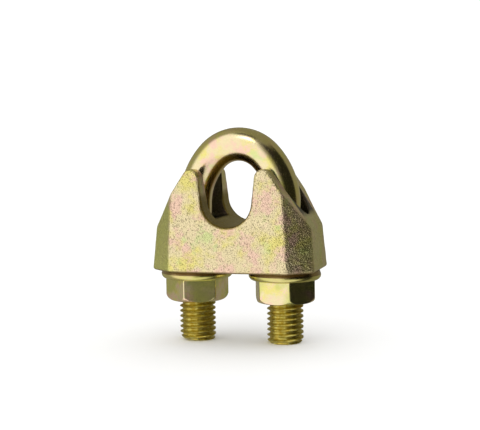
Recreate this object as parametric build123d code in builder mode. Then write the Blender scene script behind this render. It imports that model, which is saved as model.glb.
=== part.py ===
from build123d import *

import os
from math import cos, hypot, radians, sin, tan

# Wire rope clip for 16 mm rope: a cast saddle, a U-bolt with two M14 legs and two collar nuts.
# Millimetres. Origin: the rope's axis in the saddle's seat, halfway along the rope.
# +Y runs along the rope, +Z points from the saddle to the bow, the legs stand at plus and minus X.

# ---------------------------------------------------------------- driving sizes
rope_diameter = 16.0
leg_spacing = 35.0              # between the axes of the two legs

# Screw thread of the legs and nuts
thread_diameter = 14.0          # nominal
thread_pitch = 2.0
thread_depth = 1.1              # crest to root on the leg
thread_flank = 30.0             # half of the thread's angle
crest_flat = 0.30               # width of the leg's thread crest
crest_shortfall = 0.10          # radial: leg crest below the nominal size
thread_radial_gap = 0.22        # radial: between leg and nut, at crest and root
thread_flank_gap = 0.15         # along the axis, on each flank
thread_runout = 1.2             # at least this much plain crest over the leg's last turn
thread_shoulder = 0.6           # cone from the thread's crest to the plain bar
cutter_overshoot = 0.15         # how far a thread cutter stands out of the metal

# U-bolt
bar_diameter = 12.6             # plain bar that the thread is rolled on
thread_length = 36.4
bow_inside_height = 23.8        # rope seat floor to the inside of the bow
crown_radius = 14.1             # bow's top arc, on the bar's centre line
crown_half_angle = 46.0         # that arc's reach to each side of the top
leg_end_chamfer = 1.2
crop_tilt = 5.0                 # the left leg's end is cropped a little out of square
crop_chamfer = 0.8

# Saddle casting
seat_relief = 1.4               # rope seat radius over the rope's own radius
seat_flare = 6.4                # degrees that the seat's sides open outward
seat_floor = 17.2               # metal under the rope seat
base_half_width = 18.25         # along the rope
end_margin = 14.2               # leg axis to end face, at the base
base_corner_x = 8.8             # cut corners at the base, along X
base_corner_y = 7.25            # cut corners at the base, along Y
top_corner_x = 7.6              # the same corners at the height of the horns
top_corner_y = 9.8
side_draft = 1.25
end_draft = 5.0
shoulder_height = 16.7          # base to the foot of the slopes
horn_height = 38.6              # base to the top of the horns
horn_top_width = 4.9
horn_inner_round = 3.4
horn_outer_round = 3.2
shoulder_round = 4.0
leg_hole_clearance = 1.5        # radial, round the thread or the bar, whichever is thicker
bow_slot_clearance = 2.2        # each side of the bar, at the slot's floor
bow_slot_draft = 9.0
bow_slot_floor = 2.6            # above the rope seat's floor
corner_round = 1.6              # upright edges of the casting
face_round = 1.1                # edges round the front and back faces
slot_round = 0.7

# Collar nuts
nut_across_flats = 21.0
nut_height = 12.3
collar_diameter = 27.4
collar_thickness = 3.7
collar_bevel = 0.5              # the rim narrows this much in radius towards the saddle
collar_bevel_height = 1.6
collar_round = 1.9              # lower rim of the collar
collar_top_round = 0.3
hex_corner_round = 0.5          # upright corners
hex_end_round = 3.0             # corners at the free end
left_nut_turn = -6.6            # a corner of the hexagon, seen from the front, towards +X
right_nut_turn = 22.5
bearing_gap = 0.05              # collar to saddle
nut_mouth_chamfer = 1.3
leg_stickout = 15.5             # leg end below the nut's free end

# ---------------------------------------------------------------- sizes that follow
leg_x = leg_spacing / 2
bar_radius = bar_diameter / 2
seat_radius = rope_diameter / 2 + seat_relief
base_z = -seat_radius - seat_floor
seat_floor_z = -seat_radius

crest_radius = thread_diameter / 2 - crest_shortfall
root_radius = crest_radius - thread_depth
flank_slope = tan(radians(thread_flank))
groove_root_width = thread_pitch - crest_flat - 2 * thread_depth * flank_slope
nut_bore_radius = root_radius + thread_radial_gap
nut_root_radius = crest_radius + thread_radial_gap

bow_top_inside_z = seat_floor_z + bow_inside_height
crown_reach = crown_radius * sin(radians(crown_half_angle))
side_radius = (leg_x - crown_reach) / (1 - sin(radians(crown_half_angle)))
crown_centre_z = bow_top_inside_z + bar_radius - crown_radius
spring_z = crown_centre_z - (side_radius - crown_radius) * cos(radians(crown_half_angle))

nut_top_z = base_z - bearing_gap
nut_end_z = nut_top_z - nut_height
collar_radius = collar_diameter / 2
leg_end_z = nut_end_z - leg_stickout
thread_top_z = leg_end_z + thread_length
groove_start_z = leg_end_z - 1.5 * thread_pitch
leg_turns = int((thread_top_z - thread_runout - groove_start_z) / thread_pitch)
nut_turns = int(nut_height / thread_pitch) + 3
pitches_to_nut = int((nut_end_z - groove_start_z) / thread_pitch)
nut_groove_start_z = groove_start_z + (pitches_to_nut - 1.5) * thread_pitch

base_half_length = leg_x + end_margin
top_half_length = base_half_length - horn_height * tan(radians(end_draft))
top_half_width = base_half_width - horn_height * tan(radians(side_draft))
shoulder_half_length = base_half_length - shoulder_height * tan(radians(end_draft))
horn_top_z = base_z + horn_height
seat_tangent_x = seat_radius * cos(radians(seat_flare))
seat_tangent_z = -seat_radius * sin(radians(seat_flare))
horn_inner_x = seat_tangent_x + (horn_top_z - seat_tangent_z) * tan(radians(seat_flare))
horn_outer_x = horn_inner_x + horn_top_width
leg_hole_radius = max(thread_diameter, bar_diameter) / 2 + leg_hole_clearance
bow_slot_half_width = bar_radius + bow_slot_clearance
bow_slot_floor_z = seat_floor_z + bow_slot_floor

os.makedirs("parts", exist_ok=True)


def save(piece, name):
    """Label a finished piece and write it to its own file."""
    piece.part.label = name
    export_step(piece.part, f"parts/{name}.step")


# ---------------------------------------------------------------- screw threads
def one_turn_cutter(inner_radius, outer_radius, inner_width, outer_width, start_z):
    """One right-handed turn of trapezium section. Repeated a pitch apart, it cuts a thread."""
    with BuildPart() as cutter:
        with BuildLine():
            helix = Helix(thread_pitch, thread_pitch, inner_radius, center=(0, 0, start_z))
        with BuildSketch(Plane.XZ):
            with BuildLine():
                Polyline(
                    (inner_radius, start_z - inner_width / 2),
                    (outer_radius, start_z - outer_width / 2),
                    (outer_radius, start_z + outer_width / 2),
                    (inner_radius, start_z + inner_width / 2),
                    close=True,
                )
            make_face()
        sweep(path=helix, is_frenet=True)
    return cutter.part


def leg_groove_turn():
    """The groove's first turn, just below the leg's end."""
    outer = crest_radius + cutter_overshoot
    width = groove_root_width + 2 * (outer - root_radius) * flank_slope
    return one_turn_cutter(root_radius, outer, groove_root_width, width, groove_start_z)


def nut_groove_turn():
    """Runs where the leg's crests run, half a pitch from its groove, with the flank gap each side."""
    inner = nut_bore_radius - cutter_overshoot
    crest_width = crest_flat + 2 * thread_flank_gap
    inner_width = crest_width + 2 * (crest_radius - inner) * flank_slope
    outer_width = crest_width - 2 * (nut_root_radius - crest_radius) * flank_slope
    return one_turn_cutter(inner, nut_root_radius, inner_width, outer_width, nut_groove_start_z)


# ---------------------------------------------------------------- U-bolt
def leg_end_cutter(end_chamfer):
    """Takes away all below a leg's end face, and the end's chamfer. The face's centre is the origin."""
    reach = 2 * crest_radius
    chamfer_reach = end_chamfer + reach - crest_radius
    with BuildPart() as cutter:
        with BuildSketch(Plane.XZ):
            with BuildLine():
                Polyline(
                    (0, 0),
                    (crest_radius - end_chamfer, 0),
                    (reach, chamfer_reach),
                    (reach, -reach),
                    (0, -reach),
                    close=True,
                )
            make_face()
        revolve(axis=Axis.Z)
    return cutter.part


def threaded_leg(end_chamfer, end_tilt):
    """The rolled thread of one leg, on the Z axis. Its lowest point is at the leg's end height."""
    rise = (crest_radius - end_chamfer) * tan(radians(end_tilt))
    with BuildPart() as leg:
        with BuildSketch(Plane.XZ):
            with BuildLine():
                Polyline(
                    (0, leg_end_z),
                    (crest_radius, leg_end_z),
                    (crest_radius, thread_top_z - thread_shoulder),
                    (bar_radius, thread_top_z),
                    (0, thread_top_z),
                    close=True,
                )
            make_face()
        revolve(axis=Axis.Z)
        with Locations(Location((0, 0, leg_end_z + rise), (0, end_tilt, 0))):
            add(leg_end_cutter(end_chamfer), mode=Mode.SUBTRACT)
        groove_turn = leg_groove_turn()
        for turn in range(leg_turns):
            with Locations((0, 0, turn * thread_pitch)):
                add(groove_turn, mode=Mode.SUBTRACT)
    return leg.part


def make_u_bolt():
    """One round bar, bent to a pointed-round bow, with a rolled thread on both legs."""
    square_leg = threaded_leg(leg_end_chamfer, 0)
    slanted_leg = threaded_leg(crop_chamfer, crop_tilt)
    with BuildPart() as bolt:
        with BuildLine(Plane.XZ):
            right_leg = Line((leg_x, thread_top_z), (leg_x, spring_z))
            right_side = JernArc(right_leg @ 1, right_leg % 1, side_radius, 90 - crown_half_angle)
            crown = JernArc(right_side @ 1, right_side % 1, crown_radius, 2 * crown_half_angle)
            left_side = JernArc(crown @ 1, crown % 1, side_radius, 90 - crown_half_angle)
            Line(left_side @ 1, (-leg_x, thread_top_z))
        with BuildSketch(Plane.XY.offset(thread_top_z)):
            with Locations((leg_x, 0)):
                Circle(bar_radius)
        sweep()
        with Locations((leg_x, 0, 0)):
            add(square_leg)
        with Locations((-leg_x, 0, 0)):
            add(slanted_leg)
    return bolt


# ---------------------------------------------------------------- saddle
def eight_corners(half_x, half_y, corner_x, corner_y):
    """The corners of a rectangle whose own corners are cut off."""
    return [
        (half_x, corner_y - half_y),
        (half_x, half_y - corner_y),
        (half_x - corner_x, half_y),
        (corner_x - half_x, half_y),
        (-half_x, half_y - corner_y),
        (-half_x, corner_y - half_y),
        (corner_x - half_x, -half_y),
        (half_x - corner_x, -half_y),
    ]


def is_slot_rim(edge):
    """Upper edges of the bow slot, where its drafted wall meets the slopes, horns and rope seat."""
    middle = edge @ 0.5
    half_width = bow_slot_half_width + (middle.Z - bow_slot_floor_z) * tan(radians(bow_slot_draft))
    past_leg_axis = max(0, abs(middle.X) - leg_x)
    on_wall = abs(hypot(past_leg_axis, middle.Y) - half_width) < 0.05
    wall_seam = abs(abs((edge @ 0).X) - leg_x) < 0.01 and abs(abs((edge @ 1).X) - leg_x) < 0.01
    return on_wall and not wall_seam and middle.Z > bow_slot_floor_z + 0.1


def make_saddle():
    """The casting: base, two horns, rope seat between them, leg holes and bow slot."""
    with BuildPart() as casting:
        # Eight-sided blank with the mould's draft.
        base_plan = (base_half_length, base_half_width, base_corner_x, base_corner_y)
        top_plan = (top_half_length, top_half_width, top_corner_x, top_corner_y)
        with BuildSketch(Plane.XY.offset(base_z)):
            Polygon(*eight_corners(*base_plan), align=None)
        with BuildSketch(Plane.XY.offset(horn_top_z)):
            Polygon(*eight_corners(*top_plan), align=None)
        loft(ruled=True)
        upright = casting.edges().filter_by_position(Axis.Z, base_z + 1, horn_top_z - 1)
        fillet(upright, corner_round)

        # Outline seen along the rope: end faces, slopes, horns and rope seat.
        with BuildSketch(Plane.XZ):
            with BuildLine():
                seat = CenterArc((0, 0), seat_radius, 180 + seat_flare, 180 - 2 * seat_flare)
                Polyline(
                    seat @ 1,
                    (horn_inner_x, horn_top_z),
                    (horn_outer_x, horn_top_z),
                    (shoulder_half_length, base_z + shoulder_height),
                    (base_half_length, base_z),
                    (-base_half_length, base_z),
                    (-shoulder_half_length, base_z + shoulder_height),
                    (-horn_outer_x, horn_top_z),
                    (-horn_inner_x, horn_top_z),
                    seat @ 0,
                )
            make_face()
            horn_tops = vertices().group_by(Axis.Y)[-1].sort_by(Axis.X)
            fillet([horn_tops[0], horn_tops[-1]], horn_outer_round)
            horn_tops = vertices().group_by(Axis.Y)[-1].sort_by(Axis.X)
            fillet([horn_tops[1], horn_tops[-2]], horn_inner_round)
            shoulder_z = base_z + shoulder_height
            shoulders = vertices().filter_by_position(Axis.Y, shoulder_z - 0.1, shoulder_z + 0.1)
            fillet(shoulders, shoulder_round)
        extrude(amount=base_half_width + 1, both=True, mode=Mode.INTERSECT)
        front_and_back = casting.faces().sort_by(Axis.Y)
        base = casting.faces().sort_by(Axis.Z)[0]
        fillet(front_and_back[0].edges() + front_and_back[-1].edges() + base.edges(), face_round)

        # Slot that the bow drops into, open to the rope seat, and the two leg holes.
        with BuildSketch(Plane.XY.offset(bow_slot_floor_z)):
            SlotCenterToCenter(leg_spacing, 2 * bow_slot_half_width)
        extrude(amount=horn_top_z + 1 - bow_slot_floor_z, taper=-bow_slot_draft, mode=Mode.SUBTRACT)
        with BuildSketch(Plane.XY.offset(base_z)):
            with Locations((leg_x, 0), (-leg_x, 0)):
                Circle(leg_hole_radius)
        extrude(amount=horn_height, mode=Mode.SUBTRACT)
        slot_rims = casting.edges().filter_by(is_slot_rim)
        fillet(slot_rims, slot_round)
    return casting


# ---------------------------------------------------------------- collar nuts
def is_bore_edge(edge):
    return abs(edge.radius - nut_bore_radius) < 0.01


def make_nut(centre_x, turn):
    """Hexagon and collar in one piece; the thread's phase is the leg's, however the hexagon stands."""
    with BuildPart() as nut:
        with BuildSketch(Plane.XY.offset(nut_end_z)):
            RegularPolygon(nut_across_flats / 2, 6, major_radius=False, rotation=turn - 90)
        extrude(amount=nut_height)
        fillet(nut.edges().filter_by(Axis.Z), hex_corner_round)
        # Turned outline of the hexagon: its corners are rounded off towards the free end.
        corner_radius = nut_across_flats / 2 / cos(radians(30))
        with BuildSketch(Plane.XZ):
            with Locations((corner_radius / 2, (nut_top_z + nut_end_z) / 2)):
                outline = Rectangle(corner_radius, nut_height)
            low_corner = outline.vertices().group_by(Axis.Y)[0].sort_by(Axis.X)[-1]
            fillet(low_corner, hex_end_round)
        revolve(axis=Axis.Z, mode=Mode.INTERSECT)
        # Collar: round underneath, its rim leaning in a little towards the saddle.
        with BuildSketch(Plane.XZ):
            with BuildLine():
                Polyline(
                    (0, nut_top_z),
                    (collar_radius - collar_bevel, nut_top_z),
                    (collar_radius, nut_top_z - collar_bevel_height),
                    (collar_radius, nut_top_z - collar_thickness),
                    (0, nut_top_z - collar_thickness),
                    close=True,
                )
            make_face()
            rim = vertices().group_by(Axis.X)[-1].sort_by(Axis.Y)
            fillet(rim[0], collar_round)
            top_corner = vertices().group_by(Axis.Y)[-1].sort_by(Axis.X)[-1]
            fillet(top_corner, collar_top_round)
        revolve(axis=Axis.Z)
        # Threaded bore.
        with BuildSketch(Plane.XY.offset(nut_end_z)):
            Circle(nut_bore_radius)
        extrude(amount=nut_height, mode=Mode.SUBTRACT)
        bore_edges = nut.edges().filter_by(GeomType.CIRCLE).filter_by(is_bore_edge)
        chamfer(bore_edges, nut_mouth_chamfer)
        groove_turn = nut_groove_turn()
        for turn in range(nut_turns):
            with Locations((0, 0, turn * thread_pitch)):
                add(groove_turn, mode=Mode.SUBTRACT)
    with BuildPart() as placed:
        with Locations((centre_x, 0, 0)):
            add(nut.part)
    return placed


save(make_u_bolt(), "u_bolt")
save(make_saddle(), "saddle")
save(make_nut(-leg_x, left_nut_turn), "left_nut")
save(make_nut(leg_x, right_nut_turn), "right_nut")
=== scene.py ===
"""Wire rope clip: the looks of its casting, U-bolt and collar nuts, in a small studio.

Metres. The rope lies along Y, the legs stand at plus and minus X, and the bow is on top.
"""

from math import cos, pi, radians, sin

import bpy
from mathutils import Matrix, Vector


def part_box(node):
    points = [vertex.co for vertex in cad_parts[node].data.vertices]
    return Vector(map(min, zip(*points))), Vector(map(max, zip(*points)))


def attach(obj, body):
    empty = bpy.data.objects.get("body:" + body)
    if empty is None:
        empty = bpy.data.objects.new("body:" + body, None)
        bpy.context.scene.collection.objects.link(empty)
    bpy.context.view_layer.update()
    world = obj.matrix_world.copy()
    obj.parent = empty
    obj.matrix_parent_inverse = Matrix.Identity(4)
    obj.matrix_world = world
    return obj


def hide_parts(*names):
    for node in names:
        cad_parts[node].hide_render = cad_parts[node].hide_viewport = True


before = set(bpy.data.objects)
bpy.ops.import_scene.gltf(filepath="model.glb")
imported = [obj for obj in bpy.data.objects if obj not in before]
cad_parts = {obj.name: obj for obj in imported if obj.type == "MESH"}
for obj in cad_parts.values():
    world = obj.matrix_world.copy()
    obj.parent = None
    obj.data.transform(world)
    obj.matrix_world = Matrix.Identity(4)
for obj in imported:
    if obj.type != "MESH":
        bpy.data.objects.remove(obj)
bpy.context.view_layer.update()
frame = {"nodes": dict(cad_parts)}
nodes = frame["nodes"]
MM = 0.001

# ---------------------------------------------------------------- places on the clip
SEAT_RADIUS = 9.4 * MM
SLOT_HALF_WIDTH = 8.5 * MM      # the bow's slot, at its floor
SLOT_FLOOR_Z = -6.8 * MM
SLOT_DRAFT = 0.158              # how much each slot wall leans out for its height
BAR_RADIUS = 6.3 * MM
CROWN_RADIUS = 14.1 * MM        # top of the bow, on the bar's centre line
THREAD_LENGTH = 36.4 * MM
RIM_BEVEL_HEIGHT = 1.6 * MM     # bevel at the top of each collar
COLLAR_HEIGHT = 3.7 * MM

saddle_base_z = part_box("saddle")[0].z
nut_top_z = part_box("left_nut")[1].z
bolt_low, bolt_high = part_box("u_bolt")
floor_height = bolt_low.z
thread_top_z = floor_height + THREAD_LENGTH
crown_centre_z = bolt_high.z - CROWN_RADIUS - BAR_RADIUS

# ---------------------------------------------------------------- camera
CAMERA_AIM = Vector((0, 0, saddle_base_z + 10.9 * MM))
CAMERA_DISTANCE = 434.8 * MM
CAMERA_TURN = 17.0              # degrees to the right of the front
CAMERA_RISE = 6.0               # degrees over level
CAMERA_ROLL = 0.86              # degrees
CAMERA_LENS = 85.6
CAMERA_SHIFT_UP = 0.0519
CAMERA_NEAREST = 10 * MM


def place_camera():
    """A long lens from the front right, a little over level."""
    turn, rise, roll = radians(CAMERA_TURN), radians(CAMERA_RISE), radians(CAMERA_ROLL)
    back = Vector((sin(turn) * cos(rise), -cos(turn) * cos(rise), sin(rise)))
    right = Vector((cos(turn), sin(turn), 0))
    up = back.cross(right)
    level = Matrix((right, up, back)).transposed()
    camera = bpy.data.objects.new("studio_camera", bpy.data.cameras.new("studio_camera"))
    bpy.context.scene.collection.objects.link(camera)
    camera.data.lens = CAMERA_LENS
    camera.data.shift_y = CAMERA_SHIFT_UP
    camera.data.clip_start = CAMERA_NEAREST
    camera.matrix_world = (
        Matrix.Translation(CAMERA_AIM + back * CAMERA_DISTANCE)
        @ (level @ Matrix.Rotation(-roll, 3, "Z")).to_4x4()
    )
    bpy.context.scene.camera = camera


# ---------------------------------------------------------------- shader building
# The Mix node's sockets for colours, and the other outputs that are not a node's first.
MIX_AMOUNT, MIX_FIRST, MIX_SECOND, MIX_RESULT = 0, 6, 7, 2
LENGTH_VALUE = 1
NOISE_COLOUR = 1
OBJECT_PLACE = 3
IS_MIRRORED = 3


class Socket:
    """A node's output. Sums written with it add Math nodes to its own node tree."""

    def __init__(self, nodes, output):
        self.nodes = nodes
        self.output = output

    def maths(self, operation, *terms):
        inputs = dict(enumerate(terms))
        return self.nodes.add("ShaderNodeMath", {"operation": operation}, inputs)

    def __add__(self, other):
        return self.maths("ADD", self, other)

    def __radd__(self, other):
        return self.maths("ADD", other, self)

    def __sub__(self, other):
        return self.maths("SUBTRACT", self, other)

    def __rsub__(self, other):
        return self.maths("SUBTRACT", other, self)

    def __mul__(self, other):
        return self.maths("MULTIPLY", self, other)

    def __rmul__(self, other):
        return self.maths("MULTIPLY", other, self)

    def between(self, low, high):
        """0 below low, 1 above high, with a soft rise between. low may be the larger one."""
        return self.nodes.add(
            "ShaderNodeMapRange",
            {"interpolation_type": "SMOOTHSTEP"},
            {"Value": self, "From Min": low, "From Max": high},
        )

    def band(self, outer_low, low, high, outer_high):
        """1 from low to high, softly down to 0 at the outer two."""
        return self.between(outer_low, low) * self.between(outer_high, high)


class Nodes:
    """The nodes of one material or of the world."""

    def __init__(self, owner):
        owner.use_nodes = True
        self.tree = owner.node_tree
        self.tree.nodes.clear()

    def add(self, kind, settings=None, inputs=None, output=0):
        """A node of that kind: its settings first, then what goes into its sockets."""
        node = self.tree.nodes.new(kind)
        for name, value in (settings or {}).items():
            setattr(node, name, value)
        for key, value in (inputs or {}).items():
            if isinstance(value, Socket):
                self.tree.links.new(value.output, node.inputs[key])
            else:
                node.inputs[key].default_value = value
        return Socket(self, node.outputs[output]) if node.outputs else None

    def noise(self, place, size, detail=2.0, roughness=0.5, output=0):
        """Soft random patches about that size across, in metres, from 0 to 1."""
        inputs = {"Vector": place, "Scale": 1 / size, "Detail": detail, "Roughness": roughness}
        return self.add("ShaderNodeTexNoise", None, inputs, output)

    def mix(self, amount, first, second):
        """Colour first, turning into second as amount goes from 0 to 1."""
        inputs = {MIX_AMOUNT: amount, MIX_FIRST: first, MIX_SECOND: second}
        return self.add("ShaderNodeMix", {"data_type": "RGBA"}, inputs, MIX_RESULT)

    def shade(self, colour, brightness):
        """That colour, made brighter or darker."""
        scaled = {"operation": "SCALE"}
        return self.add("ShaderNodeVectorMath", scaled, {0: colour, "Scale": brightness})

    def parts_of(self, vector):
        """X, Y and Z of a vector, or red, green and blue of a colour."""
        split = self.add("ShaderNodeSeparateXYZ", None, {0: vector})
        outputs = split.output.node.outputs
        return [Socket(self, outputs[axis]) for axis in range(3)]

    def reach(self, across, up):
        """How far a point is from a line along the rope, from its distances across and up."""
        flat = self.add("ShaderNodeCombineXYZ", None, {"X": across, "Z": up})
        length = {"operation": "LENGTH"}
        return self.add("ShaderNodeVectorMath", length, {0: flat}, LENGTH_VALUE)


# ---------------------------------------------------------------- finishes
# OLIVE, MOSS, GOLD and BRONZE also paint shade and reflections into the finishes below.
CREAM = (0.80, 0.69, 0.43, 1)
YELLOW = (0.78, 0.70, 0.24, 1)
PINK = (0.84, 0.58, 0.47, 1)
GREEN = (0.56, 0.72, 0.27, 1)
OLIVE = (0.60, 0.55, 0.17, 1)
MOSS = (0.58, 0.595, 0.19, 1)
GOLD = (0.50, 0.385, 0.065, 1)
BRONZE = (0.50, 0.33, 0.14, 1)
PAPER = (0.955, 0.955, 0.95)

CAST_DRIFTS = 10 * MM           # how large each finish's patches are
CAST_GRAIN = 0.38 * MM
CAST_LUMPS = 1.4 * MM
CAST_SPECKS = 0.50 * MM
CAST_FACETS = 0.55 * MM
CAST_RELIEF = 0.20 * MM
BAR_DRIFTS = 8 * MM
BAR_CLOUDS = 4 * MM
BAR_FINE = 0.7 * MM
BAR_RELIEF = 0.014 * MM
THREAD_SCUFFS = 1.1 * MM
NUT_DRIFTS = 6 * MM
NUT_SHADOWS = 9 * MM
NUT_CLOUDS = 3 * MM
NUT_FINE = 0.6 * MM
NUT_RELIEF = 0.016 * MM
PAPER_CLOUDS = 30 * MM


def start_finish(name):
    """A new material's nodes, and object coordinates to lay its patterns on."""
    material = bpy.data.materials.new(name)
    nodes = Nodes(material)
    place = nodes.add("ShaderNodeTexCoord", None, None, OBJECT_PLACE)
    return material, nodes, place


def close_finish(nodes, colour, roughness, height, relief):
    """Metal shader with a bump that deep, joined to the material's output."""
    heights = {"Height": height, "Distance": relief, "Strength": 1.0}
    bump = nodes.add("ShaderNodeBump", None, heights)
    shader = nodes.add(
        "ShaderNodeBsdfPrincipled",
        None,
        {"Base Color": colour, "Metallic": 1.0, "Roughness": roughness, "Normal": bump},
    )
    nodes.add("ShaderNodeOutputMaterial", None, {"Surface": shader})


def passivated(nodes, place, size):
    """The oily colours of yellow passivation: cream, with yellow, pink and green drifts."""
    drift = nodes.noise(place, size, 4.0, 0.6)
    tints = nodes.noise(place, size * 0.7, 4.0, 0.62, NOISE_COLOUR)
    pinkness, greenness, _ = nodes.parts_of(tints)
    colour = nodes.mix(drift.between(0.46, 0.64), CREAM, YELLOW)
    colour = nodes.mix(pinkness.between(0.47, 0.63) * 0.9, colour, PINK)
    return nodes.mix(greenness.between(0.54, 0.72) * 0.6, colour, GREEN)


def make_cast_plating():
    """Sand-cast skin under zinc: satin and grainy, with painted shade gold in the rope seat,
    dark in the slot and under the casting, and painted mossy reflections on the ends.
    """
    material, nodes, place = start_finish("saddle_cast_plating")
    x, y, z = nodes.parts_of(place)
    from_rope = nodes.reach(x, z)

    # Where light and shade are painted into the plating: painted shade in the rope seat, the bow
    # slot and under the casting, and a painted mossy reflection on both ends.
    seat_shade = from_rope.between(SEAT_RADIUS + 1.2 * MM, SEAT_RADIUS + 0.1 * MM)
    # Painted reflection: both ends are tinted moss for the olive surroundings they mirror.
    left_end_reflection = x.between(-21.5 * MM, -23.5 * MM) * 0.9
    right_end_reflection = x.between(25 * MM, 29 * MM) * 0.5
    # Painted shade: the bow's slot, darkened for the shade deep inside it.
    slot_wall = SLOT_HALF_WIDTH + SLOT_DRAFT * (z - SLOT_FLOOR_Z) + 0.5 * MM
    across = y.maths("ABSOLUTE", y)
    slot_shade = across.maths("LESS_THAN", across, slot_wall)
    slot_shade = slot_shade * x.maths("ABSOLUTE", x).between(28 * MM, 26 * MM)
    slot_shade = slot_shade * from_rope.between(SEAT_RADIUS, SEAT_RADIUS + 1.0 * MM)
    # Painted shade: the bottom of the casting, above the collars, in bronze and darker.
    underside_shade = z.between(saddle_base_z + 1.0 * MM, saddle_base_z + 0.4 * MM)
    colour = passivated(nodes, place, CAST_DRIFTS)
    # Painted shade and reflection: gold in the rope seat, moss on the ends, bronze under the
    # casting.
    colour = nodes.mix(seat_shade, colour, GOLD)
    colour = nodes.mix(left_end_reflection, colour, MOSS)
    colour = nodes.mix(right_end_reflection, colour, MOSS)
    colour = nodes.mix(underside_shade * 0.7, colour, BRONZE)

    # The sand's grain, in tone, gloss and relief.
    grain = nodes.noise(place, CAST_GRAIN, 2.0, 0.6)
    lumps = nodes.noise(place, CAST_LUMPS, 3.0, 0.6)
    specks = nodes.noise(place, CAST_SPECKS, 2.0, 0.5).between(0.58, 0.70)
    facets = nodes.add("ShaderNodeTexVoronoi", None, {"Vector": place, "Scale": 1 / CAST_FACETS})
    tone = 1.0 + 0.34 * (grain - 0.5) + 0.16 * (lumps - 0.5) - 0.26 * specks
    # Painted shade: darker in the rope seat, the bow's slot and under the casting.
    tone = tone * (1.0 - 0.42 * seat_shade) * (1.0 - 0.91 * slot_shade) * (1.0 - 0.45 * underside_shade)
    colour = nodes.shade(colour, tone)
    roughness = 0.29 + 0.10 * lumps
    height = grain * 0.8 + lumps * 0.9 - specks * 0.5 + facets * 0.7
    close_finish(nodes, colour, roughness, height, CAST_RELIEF)
    return material


def make_bar_plating():
    """Drawn bar, smooth and glossy, and the rolled threads, golden and duller, partly in painted
    shade; painted reflections tint the bend bronze inside and olive outside.
    """
    material, nodes, place = start_finish("bolt_plating")
    x, y, z = nodes.parts_of(place)
    from_crown = nodes.reach(x, z - crown_centre_z)
    on_thread = z.between(thread_top_z + 0.4 * MM, thread_top_z - 0.4 * MM)
    # Painted reflection: the inside of the bend is tinted bronze for the shaded seat it mirrors.
    inner_bend_reflection = from_crown.between(11.5 * MM, 9.0 * MM) * z.between(-2 * MM, 2 * MM)
    # Painted reflection: the outside of the bend is tinted olive for the backdrop it mirrors.
    outer_bend_reflection = from_crown.between(17.4 * MM, 18.8 * MM) * (1.0 - on_thread)
    # The threads' scuffed gold: partly their own duller finish, partly painted shade for light
    # lost between the turns.
    scuffs = nodes.noise(place, THREAD_SCUFFS, 3.0, 0.6)
    scuffed_gold_and_shade = nodes.mix(scuffs.between(0.40, 0.68), GOLD, OLIVE)
    colour = passivated(nodes, place, BAR_DRIFTS)
    colour = nodes.mix(inner_bend_reflection * 0.7, colour, BRONZE)
    colour = nodes.mix(outer_bend_reflection * 0.6, colour, OLIVE)
    colour = nodes.mix(on_thread, colour, scuffed_gold_and_shade)
    fine = nodes.noise(place, BAR_FINE)
    colour = nodes.shade(colour, 0.94 + 0.12 * fine)
    roughness = 0.15 + 0.10 * nodes.noise(place, BAR_CLOUDS) + 0.20 * on_thread
    close_finish(nodes, colour, roughness, fine, BAR_RELIEF)
    return material


def make_nut_plating():
    """Cold-formed nuts: glossy, with mossy drifts, a painted olive reflection on the collar and
    painted dark bronze shade on its top bevel.
    """
    material, nodes, place = start_finish("nut_plating")
    x, y, z = nodes.parts_of(place)
    rim_foot = nut_top_z - RIM_BEVEL_HEIGHT
    collar_foot = nut_top_z - COLLAR_HEIGHT
    # Painted shade: the top bevel is painted dark bronze for the shaded underside of the casting
    # it mirrors.
    rim_shade = z.between(rim_foot - 0.1 * MM, rim_foot + 0.1 * MM)
    collar = z.between(collar_foot - 0.1 * MM, collar_foot + 0.1 * MM)
    shadows = nodes.noise(place, NUT_SHADOWS).between(0.44, 0.60)
    colour = passivated(nodes, place, NUT_DRIFTS)
    colour = nodes.mix(shadows * 0.8, colour, MOSS)
    # Painted reflection: the collar is tinted olive for what its sides mirror.
    colour = nodes.mix(collar * 0.7, colour, OLIVE)
    colour = nodes.mix(rim_shade * 0.85, colour, BRONZE)
    fine = nodes.noise(place, NUT_FINE)
    # The fine tone, with painted shade darkening the top bevel.
    colour = nodes.shade(colour, (0.93 + 0.12 * fine) * (1.0 - 0.40 * rim_shade))
    roughness = 0.19 + 0.10 * nodes.noise(place, NUT_CLOUDS)
    close_finish(nodes, colour, roughness, fine, NUT_RELIEF)
    return material


def make_floor_paper():
    """White matt paper with a hardly visible tone."""
    material, nodes, place = start_finish("floor_paper")
    tone = nodes.noise(place, PAPER_CLOUDS)
    colour = nodes.shade(PAPER, 0.99 + 0.02 * tone)
    shader = nodes.add(
        "ShaderNodeBsdfPrincipled",
        None,
        {"Base Color": colour, "Roughness": 0.9, "Specular IOR Level": 0.0},
    )
    nodes.add("ShaderNodeOutputMaterial", None, {"Surface": shader})
    return material


# ---------------------------------------------------------------- pieces
CORNER_JOIN = 0.0005 * MM       # corners of loose triangles nearer than this are one
SKIN_VOXEL = 0.42 * MM
SKIN_SWELLS = ((7.0 * MM, 0.16 * MM), (1.8 * MM, 0.08 * MM))    # size and depth
BOLT_EDGE = 32                  # degrees; sharper edges stay crisp
NUT_EDGE = 35


def deselect_all():
    """Leave nothing selected, so that no operator works on a piece by accident."""
    for selected in list(bpy.context.selected_objects):
        selected.select_set(False)


def only(piece):
    """Make that piece the one that the next operator works on."""
    deselect_all()
    piece.select_set(True)
    bpy.context.view_layer.objects.active = piece


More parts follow.
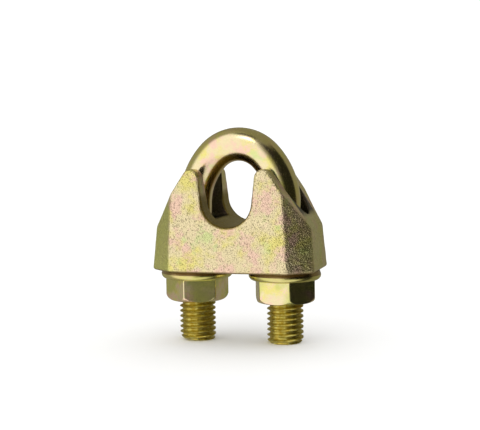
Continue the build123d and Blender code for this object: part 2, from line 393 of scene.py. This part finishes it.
def whole_copy(node_name, piece_name):
    """A CAD node's shape as one closed mesh: its loose triangles are joined at their corners."""
    piece = bpy.data.objects.new(piece_name, nodes[node_name].data.copy())
    piece.data.name = piece_name
    bpy.context.scene.collection.objects.link(piece)
    only(piece)
    bpy.ops.object.mode_set(mode="EDIT")
    bpy.ops.mesh.select_all(action="SELECT")
    bpy.ops.mesh.remove_doubles(threshold=CORNER_JOIN)
    bpy.ops.object.mode_set(mode="OBJECT")
    return piece


def reshape(piece, name, kind, **settings):
    """Apply one modifier to the active piece."""
    modifier = piece.modifiers.new(name, kind)
    for setting, value in settings.items():
        setattr(modifier, setting, value)
    bpy.ops.object.modifier_apply(modifier=modifier.name)


def crisp_shading(piece, angle):
    """Smooth over the rounds, true on the flats, and sharp at edges over that angle."""
    only(piece)
    bpy.ops.object.shade_smooth_by_angle(angle=radians(angle))
    reshape(
        piece,
        "true_flats",
        "WEIGHTED_NORMAL",
        mode="FACE_AREA_WITH_ANGLE",
        weight=100,
        keep_sharp=True,
    )


def dress(piece, material):
    """Give the piece that one material."""
    piece.data.materials.clear()
    piece.data.materials.append(material)


def make_saddle_casting(material):
    """The casting, with softened edges and the swells and dips of its sand mould."""
    casting = whole_copy("saddle", "saddle_casting")
    reshape(casting, "even_skin", "REMESH", mode="VOXEL", voxel_size=SKIN_VOXEL)
    reshape(casting, "soft_edges", "SMOOTH", factor=0.5, iterations=3)
    for size, depth in SKIN_SWELLS:
        sand = bpy.data.textures.new("mould_sand", "CLOUDS")
        sand.noise_scale = size
        sand.noise_depth = 2
        reshape(
            casting,
            "sand_skin",
            "DISPLACE",
            texture=sand,
            texture_coords="LOCAL",
            mid_level=1.0,
            strength=depth,
        )
    bpy.ops.object.shade_smooth()
    dress(casting, material)
    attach(casting, "saddle")
    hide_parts("saddle")


def make_bent_bolt(material):
    """The U-bolt with its rolled threads."""
    bolt = whole_copy("u_bolt", "bent_bolt")
    crisp_shading(bolt, BOLT_EDGE)
    dress(bolt, material)
    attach(bolt, "u_bolt")
    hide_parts("u_bolt")


def make_collar_nut(side, material):
    """The nut on the left or the right leg."""
    nut = whole_copy(f"{side}_nut", f"{side}_collar_nut")
    crisp_shading(nut, NUT_EDGE)
    dress(nut, material)
    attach(nut, f"{side}_nut")
    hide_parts(f"{side}_nut")


# ---------------------------------------------------------------- studio
FLOOR_RADIUS = 2.0
DEGREES = 180 / pi
ROOM_LIGHT = 0.30
LEFT_WALL_LIGHT = 0.10          # added to the room's
SCREEN_LIGHT = 0.90             # added to the room's
TABLE_LIGHT = 1.05
LAMP_LIGHT = 2.6
DARK_SIDE_LIGHT = 0.022
BRIGHTEST_SIDE = 1.2
PAPER_LIGHT = 1.14
WARM_SHADE = (1.0, 0.95, 0.72, 1)
DAYLIGHT = (1.0, 0.98, 0.94, 1)
WHITE = (1, 1, 1, 1)


def make_floor():
    """A wide sheet of white paper under the leg ends, which the metal doesn't mirror."""
    deselect_all()
    bpy.ops.mesh.primitive_circle_add(
        vertices=96, radius=FLOOR_RADIUS, fill_type="NGON", location=(0, 0, floor_height)
    )
    floor = bpy.context.object
    floor.name = "studio_floor"
    floor.visible_glossy = False
    dress(floor, make_floor_paper())


def make_surroundings():
    """What the metal mirrors: a bright screen, a lamp, a pale table and a dark right side.

    Bearings are degrees to the right of the front, and heights are degrees over level. All
    that isn't mirrored, the backdrop and the light on the floor, is plain white.
    """
    world = bpy.data.worlds.new("studio")
    bpy.context.scene.world = world
    nodes = Nodes(world)
    direction = nodes.add("ShaderNodeTexCoord")
    x, y, z = nodes.parts_of(direction)
    bearing = x.maths("ARCTAN2", x, -1.0 * y) * DEGREES
    height = z.maths("ARCSINE", z) * DEGREES
    screen = bearing.band(-84, -58, 2, 20) * height.between(76, 60)
    lamp = bearing.band(-22, -10, 6, 14) * height.band(42, 47, 56, 62)
    dark_side = bearing.band(6, 34, 106, 128) * height.between(76, 48)
    table = bearing.band(-90, -50, 45, 90) * height.between(-16, -30)
    left_wall = bearing.band(-150, -120, -84, -60)
    dark_gap = bearing.band(-75, -45, 30, 60) * height.band(64, 72, 78, 84)
    light = ROOM_LIGHT + LEFT_WALL_LIGHT * left_wall + SCREEN_LIGHT * screen
    most = BRIGHTEST_SIDE - (BRIGHTEST_SIDE - DARK_SIDE_LIGHT) * dark_side
    light = light.maths("MINIMUM", light, most) * (1.0 - 0.75 * dark_gap)
    light = light.maths("MAXIMUM", light, TABLE_LIGHT * table) + LAMP_LIGHT * lamp
    tint = nodes.mix(light.between(0.15, 0.90), WARM_SHADE, DAYLIGHT)
    mirrored = nodes.add("ShaderNodeLightPath", None, None, IS_MIRRORED)
    glow = nodes.add("ShaderNodeBackground", None, {"Color": tint, "Strength": light})
    paper = nodes.add("ShaderNodeBackground", None, {"Color": WHITE, "Strength": PAPER_LIGHT})
    both = nodes.add("ShaderNodeMixShader", None, {0: mirrored, 1: paper, 2: glow})
    nodes.add("ShaderNodeOutputWorld", None, {"Surface": both})
    world.cycles.sampling_method = "NONE"
    bpy.context.scene.view_settings.view_transform = "Standard"


place_camera()
make_surroundings()
make_floor()
make_saddle_casting(make_cast_plating())
make_bent_bolt(make_bar_plating())
nut_plating = make_nut_plating()
make_collar_nut("left", nut_plating)
make_collar_nut("right", nut_plating)
